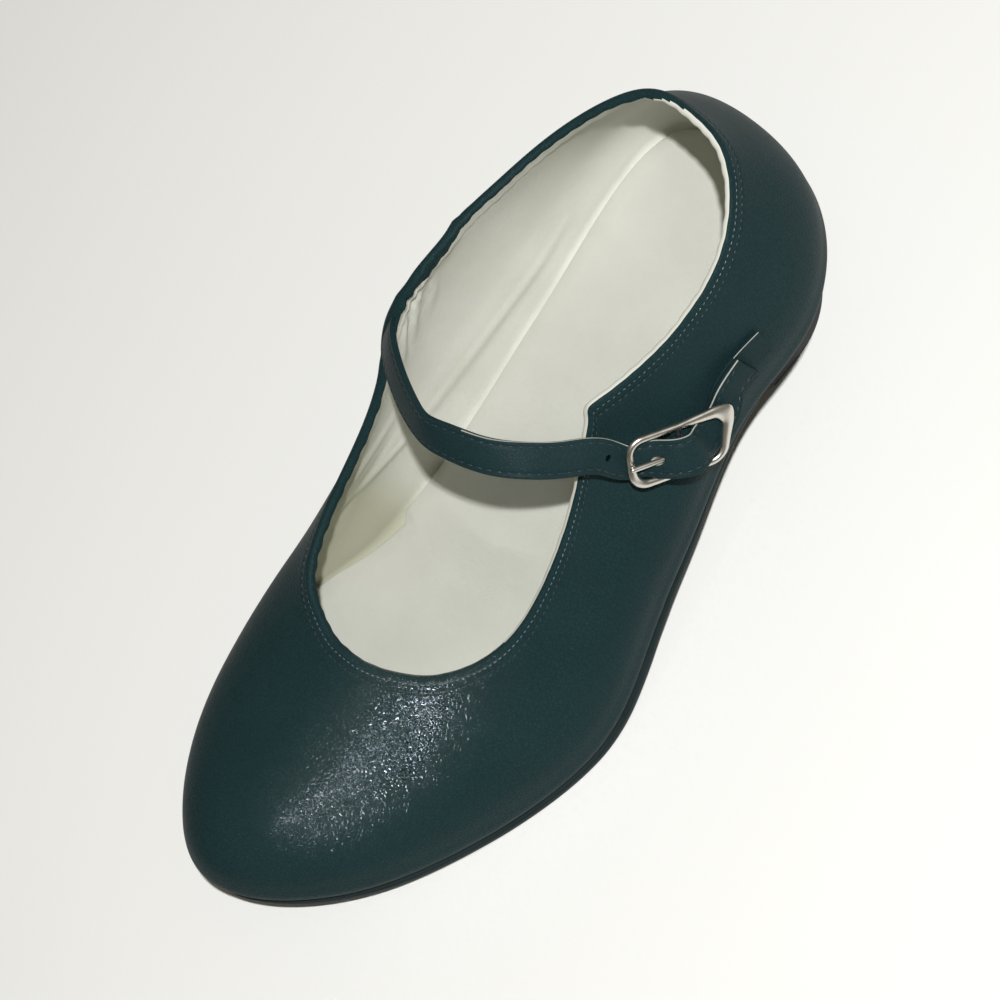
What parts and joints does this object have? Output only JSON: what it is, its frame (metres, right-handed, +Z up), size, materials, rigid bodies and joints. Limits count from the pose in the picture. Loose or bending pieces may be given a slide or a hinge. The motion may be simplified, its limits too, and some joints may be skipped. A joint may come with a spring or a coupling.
{
  "type": "flamenco shoe",
  "caption": "Black leather flamenco dance shoe, round toe, low block heel, instep strap with a side buckle, pale lining and insole.",
  "frame": {"origin": "centre of the shoe's box on the floor it stands on", "axes": "+Z up from the floor, -Y towards the toe, +X towards the outer side with the buckle"},
  "size_m": [0.0882, 0.2156, 0.0776],
  "materials": {
    "upper": "fine-grained black leather, soft sheen",
    "insole": "matt cream lining leather",
    "outsole": "dyed sole leather, smooth edge",
    "heel": "block covered with black leather",
    "strap": "black leather with a pale cut edge",
    "buckle_tab": "black leather with a pale cut edge",
    "buckle_frame": "polished nickel",
    "buckle_prong": "polished nickel"
  },
  "bodies": {
    "root": {"upper": "upper", "insole": "insole", "outsole": "outsole", "heel": "heel", "strap": "strap", "buckle_tab": "buckle_tab", "buckle_frame": "buckle_frame", "buckle_prong": "buckle_prong"}
  },
  "joints": []
}
